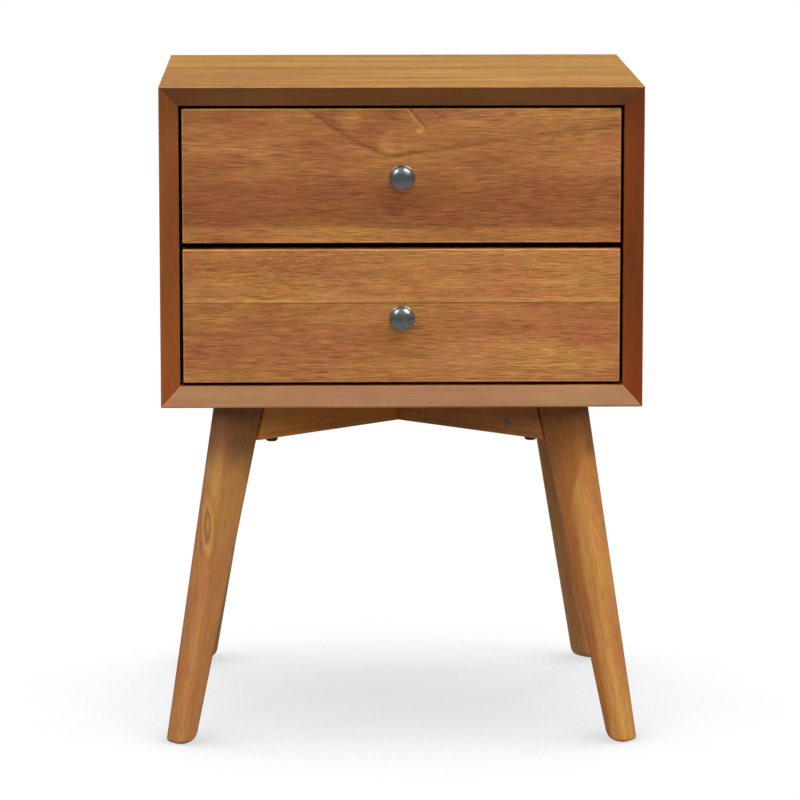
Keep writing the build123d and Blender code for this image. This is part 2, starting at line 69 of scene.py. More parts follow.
# ---------------------------------------------------------------- node graphs
class Graph:
    """A material's node tree, built one operation at a time."""

    def __init__(self, name):
        self.material = bpy.data.materials.new(name)
        self.material.use_nodes = True
        self.tree = self.material.node_tree
        self.tree.nodes.clear()
        self.place = self.node("TexCoord").outputs["Object"]

    def node(self, kind, inputs=(), **settings):
        """Adds a node; inputs pairs an input's name or number with a socket or a value."""
        made = self.tree.nodes.new("ShaderNode" + kind)
        for key, value in settings.items():
            setattr(made, key, value)
        for key, value in inputs:
            if isinstance(value, bpy.types.NodeSocket):
                self.tree.links.new(value, made.inputs[key])
            else:
                made.inputs[key].default_value = value
        return made

    def math(self, operation, a, b=0.0, c=0.0):
        return self.node("Math", ((0, a), (1, b), (2, c)), operation=operation).outputs[0]

    def add(self, a, b):
        return self.math("ADD", a, b)

    def less(self, a, b):
        return self.math("SUBTRACT", a, b)

    def times(self, a, *others):
        for b in others:
            a = self.math("MULTIPLY", a, b)
        return a

    def line(self, value, slope, start):
        """slope times the value, plus start."""
        return self.math("MULTIPLY_ADD", value, slope, start)

    def larger(self, a, *others):
        for b in others:
            a = self.math("MAXIMUM", a, b)
        return a

    def smaller(self, a, b):
        return self.math("MINIMUM", a, b)

    def size(self, value):
        return self.math("ABSOLUTE", value)

    def gap(self, a, b):
        """How far two values lie apart."""
        return self.size(self.less(a, b))

    def length(self, a, b):
        """Length of the vector with these two sides."""
        return self.math("SQRT", self.add(self.times(a, a), self.times(b, b)))

    def step(self, value, low, high, to_low=0.0, to_high=1.0):
        """Smooth step from to_low at low to to_high at high."""
        inputs = (
            ("Value", value), ("From Min", low), ("From Max", high), ("To Min", to_low), ("To Max", to_high),
        )
        return self.node("MapRange", inputs, interpolation_type="SMOOTHSTEP").outputs["Result"]

    def swing(self, noise, spread, at_low, at_high):
        """Goes from one value to another as a noise crosses the middle of its range."""
        return self.step(noise, 0.5 - spread, 0.5 + spread, at_low, at_high)

    def point(self, x, y, z):
        return self.node("CombineXYZ", ((0, x), (1, y), (2, z))).outputs[0]

    def along(self, axis):
        """Distance of the shaded point along an axis of the object."""
        return self.node("VectorMath", ((0, self.place), (1, axis)), operation="DOT_PRODUCT").outputs["Value"]

    def scaled_place(self, scale):
        return self.node("VectorMath", ((0, self.place), ("Scale", scale)), operation="SCALE").outputs[0]

    def noise(self, vector, detail=3, roughness=0.5, distortion=0.0):
        inputs = (
            ("Vector", vector), ("Scale", 1.0), ("Detail", detail), ("Roughness", roughness),
            ("Distortion", distortion),
        )
        return self.node("TexNoise", inputs).outputs["Fac"]

    def mix(self, share, a, b, blend="MIX"):
        """The colour that lies a share of the way from a to b."""
        made = self.node("Mix", data_type="RGBA", blend_type=blend)
        sockets = {socket.identifier: socket for socket in made.inputs}
        for name, value in (("Factor_Float", share), ("A_Color", a), ("B_Color", b)):
            if isinstance(value, bpy.types.NodeSocket):
                self.tree.links.new(value, sockets[name])
            else:
                sockets[name].default_value = (*value, 1.0) if isinstance(value, tuple) else value
        return next(socket for socket in made.outputs if socket.identifier == "Result_Color")

    def surface(self, colour, roughness, height, depth, strength, **fixed):
        """Ends the graph in one shader; fixed holds the values that are the same all over."""
        shader = self.node("BsdfPrincipled", (("Base Color", colour), ("Roughness", roughness)))
        for key, value in fixed.items():
            shader.inputs[key.replace("_", " ")].default_value = value
        bump = self.node("Bump", (("Height", height), ("Strength", strength), ("Distance", depth)))
        self.tree.links.new(bump.outputs[0], shader.inputs["Normal"])
        end = self.node("OutputMaterial")
        self.tree.links.new(shader.outputs[0], end.inputs[0])
        return self.material


# ---------------------------------------------------------------- wood
# Linear colours of each wood: pale early wood, ordinary wood, its darkest lines and its red bands.
HONEY = dict(
    light=(0.470, 0.208, 0.060), middle=(0.365, 0.130, 0.042),
    dark=(0.135, 0.036, 0.012), red=(0.300, 0.088, 0.030),
)
AMBER = dict(
    light=(0.535, 0.250, 0.072), middle=(0.435, 0.165, 0.052),
    dark=(0.160, 0.050, 0.015), red=(0.370, 0.120, 0.038),
)
GOLD = dict(
    light=(0.520, 0.262, 0.044), middle=(0.440, 0.205, 0.030),
    dark=(0.200, 0.075, 0.012), red=(0.370, 0.150, 0.024),
)
RIM = dict(
    light=(0.350, 0.108, 0.020), middle=(0.310, 0.090, 0.015),
    dark=(0.140, 0.034, 0.008), red=(0.270, 0.074, 0.014),
)
LEG = dict(
    light=(0.600, 0.290, 0.090), middle=(0.510, 0.220, 0.062),
    dark=(0.190, 0.060, 0.020), red=(0.440, 0.160, 0.048),
)
RAIL = dict(
    light=(0.720, 0.330, 0.085), middle=(0.620, 0.260, 0.060),
    dark=(0.260, 0.080, 0.022), red=(0.520, 0.180, 0.045),
)
PLY = dict(
    light=(0.50, 0.33, 0.19), middle=(0.42, 0.26, 0.14),
    dark=(0.22, 0.12, 0.06), red=(0.38, 0.20, 0.10),
)
PALE = dict(
    light=(0.66, 0.49, 0.31), middle=(0.58, 0.40, 0.24),
    dark=(0.34, 0.20, 0.10), red=(0.52, 0.32, 0.17),
)

# Layers of grain: features per metre along and across it, and a shift that keeps each layer apart.
DRIFT = dict(along=3.5, across=7)
DRIFT_REACH = 0.007
CLOUDS = dict(along=7, across=26, shift=3, detail=3, roughness=0.55)
BANDS = dict(along=1.6, across=75, shift=5, detail=3, roughness=0.6)
LINES = dict(along=8, across=170, shift=8, detail=3, roughness=0.6)
STREAKS = dict(along=24, across=640, shift=1, detail=4, roughness=0.7)
FIBRES = dict(along=55, across=1300, shift=2, roughness=0.6)
HUE_PATCHES = dict(along=12, across=24, shift=17, roughness=0.6)
RING_SWAY = dict(along=1.5, across=20, shift=4)
RIPPLES = dict(along=110, across=480, shift=7, detail=3, roughness=0.75, distortion=1.0)
FINE_VESSELS = dict(along=46, across=780, spread=0.26, shift=6)
COARSE_VESSELS = dict(along=26, across=440, spread=0.20, shift=11)
GLEAMS = dict(along=44, across=720, spread=0.26, shift=13)

SEED_STRIDES = (7.3, 3.1, 5.7)
FAR_PITH = (0.0, -0.06)


def tinted(palette, red, green, blue):
    """The same palette leaning to another tone."""
    return {name: (r * red, g * green, b * blue) for name, (r, g, b) in palette.items()}


def brightened(colour, factor):
    return tuple(factor * part for part in colour)


class Wood(Graph):
    """Lacquered wood whose grain runs along one axis of a piece.

    a, c and d are a point's distances along the grain, across the face and into the board.
    """

    def __init__(self, name, along, across, seed, palette=HONEY):
        super().__init__(name)
        self.palette = palette
        self.seed = seed
        self.a = self.along(along)
        self.c = self.along(across)
        self.d = self.along(along.cross(across))
        self.lean = self.times(self.less(self.layer(**DRIFT), 0.5), DRIFT_REACH)
        self.c = self.add(self.c, self.lean)

    def stretched(self, along, across, shift):
        """Noise coordinates with this many features per metre along and across the grain."""
        scales = (along, across, across)
        starts = [(self.seed + shift) * stride for stride in SEED_STRIDES]
        return self.point(*map(self.line, (self.a, self.c, self.d), scales, starts))

    def layer(self, along, across, shift=0, detail=2, roughness=0.5, distortion=0.0):
        """Noise drawn out along the grain."""
        return self.noise(self.stretched(along, across, shift), detail, roughness, distortion)

    def rings(self, pith_c, pith_d, spacing):
        """Growth rings round a pith line beside the board: 0 in pale wood, 1 at a dark late line."""
        sway = 2.2
        rise, fall = (0.15, 0.86), (0.88, 1.0)
        reach = self.length(self.less(self.c, pith_c), self.less(self.d, pith_d))
        turn = self.math("FRACT", self.line(reach, 1 / spacing, self.times(self.layer(**RING_SWAY), sway)))
        return self.times(self.step(turn, *rise), self.step(turn, *fall, 1.0, 0.0))

    def dashes(self, along, across, spread, shift):
        """Separate short strokes along the grain, such as pores: 1 on a stroke, 0 between."""
        place = self.stretched(along, across, shift)
        cells = self.node("TexVoronoi", (("Vector", place), ("Scale", 1.0)))
        thickness = self.swing(self.layer(12, 60, shift + 0.5), 0.20, 0.0, spread)
        inside, outside = 0.06, 0.17
        return self.step(self.less(cells.outputs["Distance"], thickness), inside, outside, 1.0, 0.0)

    def finish(
        self, rings, ring_share=0.35, streak=0.55, blotch=0.5, pores=0.5, fleck=None, red=None, dark=None,
        pale=None, tone=None, hue=0.07, roughness=0.38,
    ):
        """Lays the grain over the palette and ends the material.

        red, dark and pale are masks of colour, and tone is a factor on the brightness. ring_share,
        streak, blotch, pores, fleck and hue say how strongly those layers show.
        """
        palette = self.palette
        streaks = self.layer(**STREAKS)
        fibres = self.layer(**FIBRES)
        base = self.mix(self.step(self.layer(**CLOUDS), 0.32, 0.66), palette["light"], palette["middle"])
        base = self.mix(self.times(self.step(self.layer(**BANDS), 0.42, 0.70), blotch), base, palette["red"])
        base = self.mix(self.times(rings, ring_share), base, palette["red"])
        if red is not None:
            base = self.mix(red, base, palette["red"])
        if pale is not None:
            base = self.mix(pale, base, brightened(palette["light"], 1.18))
        if dark is not None:
            base = self.mix(dark, base, palette["dark"])
        shade = self.times(
            self.swing(streaks, 0.20, 1 + 0.24 * streak, 1 - 0.28 * streak),
            self.swing(self.layer(**LINES), 0.20, 1 + 0.16 * streak, 1 - 0.18 * streak),
            self.swing(fibres, 0.18, 1 + 0.40 * streak, 1 - 0.42 * streak),
        )
        if tone is not None:
            shade = self.times(shade, tone)
        patches = self.layer(**HUE_PATCHES)
        green = self.times(shade, self.swing(patches, 0.18, 1 + hue, 1 - hue))
        blue = self.times(shade, self.swing(patches, 0.18, 1 - hue, 1 + hue))
        shade = self.node("CombineColor", ((0, shade), (1, green), (2, blue))).outputs[0]
        base = self.mix(1.0, base, shade, "MULTIPLY")
        vessels = self.larger(self.dashes(**FINE_VESSELS), self.times(self.dashes(**COARSE_VESSELS), 0.8))
        gleams = self.times(self.dashes(**GLEAMS), 0.5 * streak)
        base = self.mix(gleams, base, brightened(palette["light"], 1.2))
        base = self.mix(self.times(vessels, pores), base, palette["dark"])
        if fleck is not None:
            ripples = self.times(self.step(self.layer(**RIPPLES), 0.54, 0.68), fleck)
            base = self.mix(ripples, base, brightened(palette["light"], 1.25))
        variation = 0.14
        return self.surface(
            base, self.line(streaks, variation, roughness - variation / 2),
            height=self.less(self.times(fibres, 0.5), vessels), depth=0.00012, strength=0.35,
            Coat_Weight=0.05, Coat_Roughness=0.22, Specular_IOR_Level=0.32,
        )


def plain_wood(name, along, across, seed, spacing=0.007, palette=HONEY, **look):
    """Board with ordinary grain; spacing is the width of a growth ring."""
    wood = Wood(name, along, across, seed, palette)
    return wood.finish(wood.rings(*FAR_PITH, spacing), **look)


# ---------------------------------------------------------------- pieces
ROUNDING_STEPS = 3
SHARP_ANGLE = math.radians(25)
SMOOTH_ANGLE = math.radians(30)


def paint(node, material):
    """Gives a CAD node its finish."""
    slots = frame["nodes"][node].data.materials
    slots.clear()
    slots.append(material)


def finish_piece(work, node, name, materials, angle=None):
    """Turns a bmesh into the piece that stands for a node.

    Edges that turn by more than the angle, in degrees, are hard; without one, the bmesh says which are.
    """
    mesh = bpy.data.meshes.new(name)
    work.to_mesh(mesh)
    work.free()
    if angle is not None:
        mesh.shade_smooth()
        mesh.set_sharp_from_angle(angle=math.radians(angle))
    for material in materials:
        mesh.materials.append(material)
    piece = bpy.data.objects.new(name, mesh)
    bpy.context.scene.collection.objects.link(piece)
    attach(piece, node_body[node])
    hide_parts(node)


def soften(node, material, rim=None, arris=None):
    """Replaces a node by a copy of its own mesh with its long arrises eased.

    rim and arris are the finishes of its front bevel and of the narrow flat in front of that.
    """
    width, shortest = 0.0005, 0.014
    work = bmesh.new()
    work.from_mesh(frame["nodes"][node].data)
    bmesh.ops.remove_doubles(work, verts=work.verts, dist=1e-6)
    bmesh.ops.dissolve_limit(work, angle_limit=math.radians(0.5), verts=work.verts, edges=work.edges)
    inner_edges = [edge for edge in work.edges if len(edge.link_faces) == 2]
    sharp = [
        edge for edge in inner_edges if edge.calc_length() > shortest and edge.calc_face_angle() > SHARP_ANGLE
    ]
    bevel = bmesh.ops.bevel(
        work, geom=sharp, offset=width, segments=ROUNDING_STEPS, profile=0.5, affect="EDGES",
        clamp_overlap=True,
    )
    keep_flats_flat(work, set(bevel["faces"]))
    bmesh.ops.triangulate(work, faces=[face for face in work.faces if len(face.verts) > 4])
    if rim is not None:
        share_out_front(work, arris is not None)
    materials = [finish for finish in (material, rim, arris) if finish is not None]
    finish_piece(work, node, f"{node}_eased", materials)


def keep_flats_flat(work, roundings):
    """Shades the roundings smooth, and sets them off from the flats that they join."""
    for face in work.faces:
        face.smooth = True
    for edge in work.edges:
        rounded = sum(face in roundings for face in edge.link_faces)
        flat = rounded == 0 and edge.calc_face_angle(0.0) < SMOOTH_ANGLE
        edge.smooth = rounded == 2 or flat


def share_out_front(work, has_arris):
    """Gives the faces that look forwards the second finish, and the ones square to the front the third."""
    bevelled, square = -0.6, -0.93
    work.normal_update()
    for face in work.faces:
        if has_arris and face.normal.y < square:
            face.material_index = 2
        else:
            face.material_index = int(face.normal.y < bevelled)


# ---------------------------------------------------------------- case
RIM_START = cad_box[0].y + 0.013
RIM_END = cad_box[0].y + 0.024


def rim_wood(name, along, seed, tint, inner=1.0, lower=1.0, mitre=False):
    """Evenly stained wood of the front bevel, under a tint that also holds painted light.

    inner and lower are its brightness beside the opening and at the foot of the case, and mitre gives
    the ends of the board a pale line of painted highlight along the mitre.
    """
    side_foot, side_middle, top = 0.345, 0.46, cad_box[1].z
    across = Z if along is X else X
    wood = Wood(f"{name}_rim_grain", along, across, seed, tinted(RIM, *tint))
    height = wood.along(Z)
    tone = wood.step(wood.along(Y), RIM_START, RIM_END, 1.0, inner)
    tone = wood.times(tone, wood.step(height, side_foot, side_middle, lower, 1.0))
    if along is Z:
        tone = wood.times(tone, wood.step(height, top - 0.06, top - 0.012, 1.0, 0.84))
    tone = wood.times(tone, wood.swing(wood.layer(9, 30, shift=12), 0.2, 0.95, 1.05))
    # pale holds the painted highlight along the mitre when the board has one.
    return wood.finish(
        wood.rings(*FAR_PITH, 0.007), ring_share=0.15, streak=0.14, pores=0.04, blotch=0.5, tone=tone,
        pale=mitre_highlight(wood, height) if mitre else None, hue=0.05, roughness=0.42,
    )


def mitre_highlight(wood, height):
    """Mask of a painted highlight: a pale line along the mitre where the bottom board meets the sides."""
    low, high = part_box("bottom_panel")
    side_low, side_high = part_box("left_side_panel")
    slope = (side_high.x - side_low.x) / (high.z - low.z)
    from_end = wood.less(high.x, wood.size(wood.along(X)))
    off = wood.less(from_end, wood.times(wood.less(height, low.z), slope))
    return wood.step(wood.size(off), 0.0006, 0.0016, 0.9, 0.0)


def side_wood(side, seed):
    """Upright board of the case."""
    palette = tinted(AMBER, 0.93, 0.98, 0.80)
    return plain_wood(f"{side}_side_grain", Z, Y, seed, palette=palette, streak=0.35, pores=0.25, blotch=0.5)


def top_wood():
    """Top board glued from staves, with a joint line a little behind the middle."""
    joint = 0.040
    wood = Wood("top_grain", X, Y, 1.0, GOLD)
    behind = wood.step(wood.c, joint - 0.001, joint + 0.001)
    faintness = wood.step(wood.layer(5, 4, shift=15), 0.35, 0.6, 0.75, 0.25)
    line = wood.times(wood.step(wood.gap(wood.c, joint - 0.004), 0.001, 0.008, 1.0, 0.0), faintness)
    pale = wood.step(wood.gap(wood.c, joint + 0.010), 0.0, 0.008, 0.8, 0.0)
    figure = wood.swing(wood.layer(3.4, 52, shift=14, detail=4, roughness=0.7), 0.18, 1.16, 0.86)
    late_wood = wood.layer(5.5, 120, shift=16, detail=3, roughness=0.7)
    late_lines = wood.step(late_wood, 0.58, 0.70, 1.0, 0.78)
    tone = wood.times(figure, late_lines, wood.line(behind, 0.03, 1.08))
    red = wood.times(wood.less(1.0, behind), wood.step(wood.a, -0.18, 0.06, 0.55, 0.0))
    return wood.finish(
        wood.rings(0.02, -0.09, 0.016), ring_share=0.3, streak=0.5, pores=0.3, dark=line, pale=pale,
        tone=tone, red=red,
    )


def case():
    bottom = plain_wood("bottom_grain", X, Y, 2.0, streak=0.3, pores=0.2, blotch=0.3)
    # The rims' tints also hold painted light: the pale, blue-heavy tint of the bottom rim is a painted sheen,
    # and the dark tint of the right rim is painted shade.
    boards = (
        ("top_panel", top_wood(), X, (0.90, 1.07, 1.52), {}),
        ("bottom_panel", bottom, X, (0.92, 1.44, 3.10), dict(inner=1.13, mitre=True)),
        ("left_side_panel", side_wood("left", 3.0), Z, (0.855, 0.83, 0.84), dict(inner=0.98, lower=1.10)),
        ("right_side_panel", side_wood("right", 4.0), Z, (0.62, 0.45, 0.30), dict(inner=1.12, lower=1.25)),
    )
    # Painted highlight: the narrow flat along the top's front arris gets a paler, bluer wood that stands for
    # the light it catches.
    arris_highlight = tinted(GOLD, 1.25, 1.3, 1.7)
    arris = plain_wood("top_panel_arris_grain", X, Z, 18.0, palette=arris_highlight, streak=0.4, pores=0.3)
    for k, (name, wood, along, tint, look) in enumerate(boards):
        rim = rim_wood(name, along, 7.0 + k, tint, **look)
        soften(name, wood, rim, arris if name == "top_panel" else None)
    soften("back_panel", plain_wood("back_grain", Z, X, 5.0, spacing=0.02, palette=PLY, pores=0.3, hue=0.02))
    paint("mitre_splines", plain_wood("spline_grain", X, Z, 6.0, palette=PALE))


# ---------------------------------------------------------------- drawer fronts
class FrontWood(Wood):
    """Wood of a drawer front, which knows the front's own edges."""

    def __init__(self, node, name, seed, palette):
        super().__init__(name, X, Z, seed, palette)
        self.low, self.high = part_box(node)
        self.height = self.less(self.c, self.lean)

    def spot(self, x, below_top, half_x, half_z):
        """Soft round mask about a point of the front: 1 in the middle, 0 outside."""
        z = self.high.z - below_top
        dx = self.line(self.a, 1 / half_x, -x / half_x)
        dz = self.line(self.height, 1 / half_z, -z / half_z)
        return self.step(self.length(dx, dz), 0.15, 1.0, 1.0, 0.0)

    def edge_highlight(self):
        """Painted highlight: pale along the edges of the front, standing for the light that its eased edges
        catch.
        """
        in_x = self.less((self.high.x - self.low.x) / 2, self.size(self.a))
        in_z = self.smaller(self.less(self.high.z, self.height), self.less(self.height, self.low.z))
        return self.step(self.smaller(in_x, in_z), 0.0008, 0.0016, 0.8, 0.0)

    def between(self, low, high, soft_low, soft_high):
        """Mask of the grain between two heights, with soft edges."""
        above = self.step(self.c, low, low + soft_low)
        below = self.step(self.c, high, high + soft_high, 1.0, 0.0)
        return self.times(above, below)


ARC_X = -0.005
ARC_BELOW_TOP = 0.0455
ARC_LEFT_REACH, ARC_LEFT_RISE = 0.083, 0.043
ARC_RIGHT_REACH, ARC_RIGHT_RISE = 0.211, 0.028


def above_arc(wood):
    """Height above the arc that the grain makes under the branch; bends the grain to follow the arc."""
    left_curve, right_curve = 1.5, 0.9
    most_bend, bend_share = 0.030, 0.102
    arc_z = wood.high.z - ARC_BELOW_TOP
    from_lowest = wood.less(wood.a, ARC_X)
    left = wood.larger(wood.times(from_lowest, -1 / ARC_LEFT_REACH), 0.0)
    right = wood.larger(wood.times(from_lowest, 1 / ARC_RIGHT_REACH), 0.0)
    rise = wood.add(
        wood.times(wood.math("POWER", left, left_curve), ARC_LEFT_RISE),
        wood.times(wood.math("POWER", right, right_curve), ARC_RIGHT_RISE),
    )
    ripple = wood.times(wood.less(wood.layer(40, 60, detail=3), 0.5), 0.004)
    above = wood.add(wood.less(wood.less(wood.height, arc_z), rise), ripple)
    follow = wood.step(wood.height, wood.low.z + 0.02, arc_z + 0.01, 0.0, bend_share)
    wood.c = wood.less(wood.c, wood.times(wood.smaller(rise, most_bend), follow))
    return above


def branch_end(wood):
    """Masks of the ragged dark end of the branch at the top edge and of the pale wood beside it."""
    depth = wood.less(wood.high.z, wood.height)
    lean, start, end = 0.75, 0.009, 0.023
    wobble = wood.times(wood.less(wood.layer(60, 190, shift=19, detail=3), 0.5), 0.010)
    middle = wood.add(wood.line(depth, lean, start), wobble)
    dark = wood.times(
        wood.step(wood.gap(wood.a, middle), 0.0004, 0.0030, 0.95, 0.0),
        wood.step(depth, 0.004, end + 0.001, 1.0, 0.25),
        wood.step(depth, end, end + 0.003, 1.0, 0.0),
        wood.step(wood.layer(300, 420, shift=18), 0.40, 0.55, 0.25, 1.0),
    )
    pale = wood.times(
        wood.step(wood.gap(wood.a, wood.less(middle, 0.0040)), 0.0005, 0.0034, 0.6, 0.0),
        wood.step(depth, 0.018, end + 0.003, 1.0, 0.0),
    )
    return dark, pale


def upper_front_wood():
    """Front whose grain dips in an arc under a branch at the top edge, over a red band and a pale edge."""
    wood = FrontWood("upper_drawer_front", "upper_front_grain", 11.0, HONEY)
    low, high = wood.low, wood.high
    above = above_arc(wood)
    mottle = wood.layer(26, 40, shift=9, detail=3, roughness=0.6)

    left_half = wood.step(wood.a, -0.012, 0.004, 1.0, 0.0)
    branch = wood.times(wood.step(above, 0.0, 0.0022), left_half, wood.step(mottle, 0.38, 0.60, 0.35, 0.95))
    band = wood.between(low.z + 0.0145, low.z + 0.042, 0.0045, 0.024)
    red = wood.larger(branch, wood.times(band, 0.60))

    arc_line = wood.times(
        wood.step(wood.gap(above, 0.001), 0.0, 0.0036, 1.0, 0.0),
        wood.step(wood.a, -0.05, -0.005, 0.42, 0.72),
        wood.step(wood.a, 0.0, 0.13, 1.0, 0.35),
        wood.step(mottle, 0.35, 0.60, 0.60, 1.0),
    )
    branch_dark, branch_pale = branch_end(wood)
    speckle = wood.step(wood.layer(420, 420, shift=10, detail=1), 0.52, 0.62)
    speckle = wood.times(speckle, wood.spot(0.033, 0.007, 0.020, 0.010), 0.45)
    dark = wood.larger(arc_line, branch_dark, speckle)

    pale_wood = wood.larger(wood.spot(-0.048, 0.009, 0.019, 0.017), wood.spot(-0.014, 0.036, 0.013, 0.019))
    # pale includes the painted highlight along the front's edges.
    pale = wood.larger(
        wood.times(pale_wood, 0.62), branch_pale, wood.spot(0.017, 0.0215, 0.006, 0.0035), wood.edge_highlight(),
    )

    tone = wood.times(
        wood.step(wood.c, low.z + 0.0125, low.z + 0.016, 1.30, 1.0),
        wood.step(wood.height, high.z - ARC_BELOW_TOP - 0.02, high.z, 1.0, 1.05),
        wood.step(wood.a, 0.04, 0.19, 1.0, 1.07),
    )
    return wood.finish(
        wood.rings(high.z + 0.06, -0.02, 0.017), ring_share=0.28, red=red, dark=dark, pale=pale, tone=tone,
        streak=0.57, pores=0.48, blotch=0.35,
    )


def lower_front_wood():
    """Front glued from a pale flecked board over a redder one."""
    joint_below_top = 0.0505
    wood = FrontWood("lower_drawer_front", "lower_front_grain", 17.0, AMBER)
    joint = wood.high.z - joint_below_top
    to_joint = wood.less(wood.height, joint)
    upper = wood.step(wood.height, joint - 0.0003, joint + 0.0003)
    lower = wood.less(1.0, upper)

    glue_line = wood.step(wood.size(wood.add(to_joint, 0.0008)), 0.0, 0.0011, 0.55, 0.0)
    towards_ends = wood.step(wood.size(wood.a), 0.03, 0.10, 0.25, 0.85)
    lip = wood.times(wood.step(to_joint, 0.0, 0.007, 1.0, 0.0), upper, towards_ends)
    below = wood.step(to_joint, -0.036, -0.002, 1.10, 0.98)
    tone = wood.times(
        wood.larger(wood.times(below, lower), upper), wood.step(wood.a, -0.18, 0.18, 0.97, 1.09),
    )
    stain = wood.times(
        wood.step(to_joint, -0.019, -0.004), wood.step(to_joint, -0.002, 0.0, 1.0, 0.0),
        wood.step(wood.a, -0.13, -0.09, 0.42, 0.10),
    )
    blush = wood.times(
        wood.step(wood.height, wood.high.z - 0.024, wood.high.z - 0.012),
        wood.step(wood.a, -0.06, 0.02, 0.5, 0.0),
    )
    # pale includes the painted highlight along the front's edges.
    return wood.finish(
        wood.rings(wood.low.z - 0.05, -0.03, 0.014), ring_share=0.25,
        red=wood.larger(wood.times(lower, 0.16), stain, blush), dark=glue_line,
        pale=wood.larger(lip, wood.edge_highlight()), tone=tone, fleck=wood.times(upper, 0.55),
        streak=0.58, pores=0.50, blotch=0.35,
    )


def eased_front(node, material):
    """Solid drawer front with softly rounded edges round its face."""
    rounding, steps = 0.0009, 5
    low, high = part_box(node)
    work = bmesh.new()
    bmesh.ops.create_cube(work)
    for vert in work.verts:
        vert.co = Vector(low[i] if vert.co[i] < 0 else high[i] for i in range(3))
    face_edges = [edge for edge in work.edges if min(vert.co.y for vert in edge.verts) < low.y + 1e-6]
    bmesh.ops.bevel(work, geom=face_edges, offset=rounding, segments=steps, profile=0.5, affect="EDGES")
    finish_piece(work, node, f"{node}_eased", [material], 60)


# ---------------------------------------------------------------- drawers
KNOB_TURNS = 96


def arc(centre, radii, start, end, steps):
    """Points along an elliptical arc from one angle to another, in degrees."""
    angles = [math.radians(start + (end - start) * k / steps) for k in range(steps + 1)]
    return [(centre[0] + radii[0] * math.cos(t), centre[1] + radii[1] * math.sin(t)) for t in angles]


def knob_profile():
    """Outline of the knob from the middle of its foot to the top of its dome.

    Each point is a share of the knob's radius and a share of its length.
    """
    foot, neck, flare, rim = 0.585, 0.375, 0.93, 1.0
    foot_top, neck_low, neck_high, rim_low, rim_high = 0.06, 0.19, 0.30, 0.60, 0.742
    rim_middle = (rim_low + rim_high) / 2
    profile = [(0.0, 0.0), (foot, 0.0)]
    profile += arc((foot, neck_low), (foot - neck, neck_low - foot_top), -90, -180, 6)
    profile += arc((flare, neck_high), (flare - neck, rim_low - neck_high), 180, 90, 8)
    profile += arc((flare, rim_middle), (rim - flare, rim_high - rim_middle), -90, 90, 10)[1:]
    profile += arc((0.0, rim_high), (flare, 1 - rim_high), 0, 90, 14)[1:-1]
    return profile + [(0.0, 1.0)]


def knob(name, material):
    """Turned knob: foot, neck, rolled rim and dome, lathed about its own axis."""
    low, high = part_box(name)
    middle = (low + high) / 2
    radius = (high.x - low.x) / 2
    length = high.y - low.y
    work = bmesh.new()
    rows = []
    for share, out in knob_profile():
        turns = 1 if share == 0.0 else KNOB_TURNS
        angles = [2 * math.pi * k / KNOB_TURNS for k in range(turns)]
        rows.append([
            work.verts.new((
                middle.x + radius * share * math.cos(angle),
                high.y - out * length,
                middle.z + radius * share * math.sin(angle),
            ))
            for angle in angles
        ])
    for inner, outer in zip(rows, rows[1:]):
        join_rings(work, inner, outer)
    bmesh.ops.recalc_face_normals(work, faces=work.faces)
    finish_piece(work, name, f"{name}_turned", [material], 40)


def join_rings(work, first, second):
    """Faces between two closed rings of vertices; either ring may be a single point."""
    turns = max(len(first), len(second))
    for k in range(turns):
        nxt = (k + 1) % turns
        start, end = k % len(first), nxt % len(first)
        other_start, other_end = k % len(second), nxt % len(second)
        corners = (first[start], second[other_start], second[other_end], first[end])
        work.faces.new(list(dict.fromkeys(corners)))


def drawers():
    eased_front("upper_drawer_front", upper_front_wood())
    eased_front("lower_drawer_front", lower_front_wood())
    pewter = knob_metal()
    box_parts = (("front", X), ("back", X), ("left_side", Y), ("right_side", Y))
    for k, which in enumerate(("upper", "lower")):
        knob(f"{which}_knob", pewter)
        for j, (part, along) in enumerate(box_parts):
            seed = 20.0 + 5 * k + j
            soften(f"{which}_box_{part}", plain_wood(
                f"{which}_{part}_grain", along, Z, seed, palette=PALE, streak=0.4, pores=0.3, hue=0.03,
            ))
        soften(f"{which}_box_bottom", plain_wood(
            f"{which}_bottom_grain", X, Y, 31.0 + k, spacing=0.02, palette=PLY, pores=0.25, hue=0.02,
        ))
        paint(f"{which}_box_dowels", plain_wood(f"{which}_dowel_grain", X, Z, 33.0 + k, palette=PALE))


# ---------------------------------------------------------------- base
DIAGONAL = math.radians(41.3)
LEG_THICKNESS = 0.025
LEG_TOP_WIDTH = 0.050
LEG_FOOT_WIDTH = 0.0235
LEG_ARRIS = 0.0075
FOOT_ROUND = 0.0035
INNER_FOOT_ROUND = 0.010
FOOT_ROWS = 10
SHAFT_ROWS = 12
LEG_PITH = (0.05, 0.02)
LEG_RINGS = 0.008
LEG_LOOK = dict(ring_share=0.22, streak=0.24, pores=0.34, blotch=0.4)


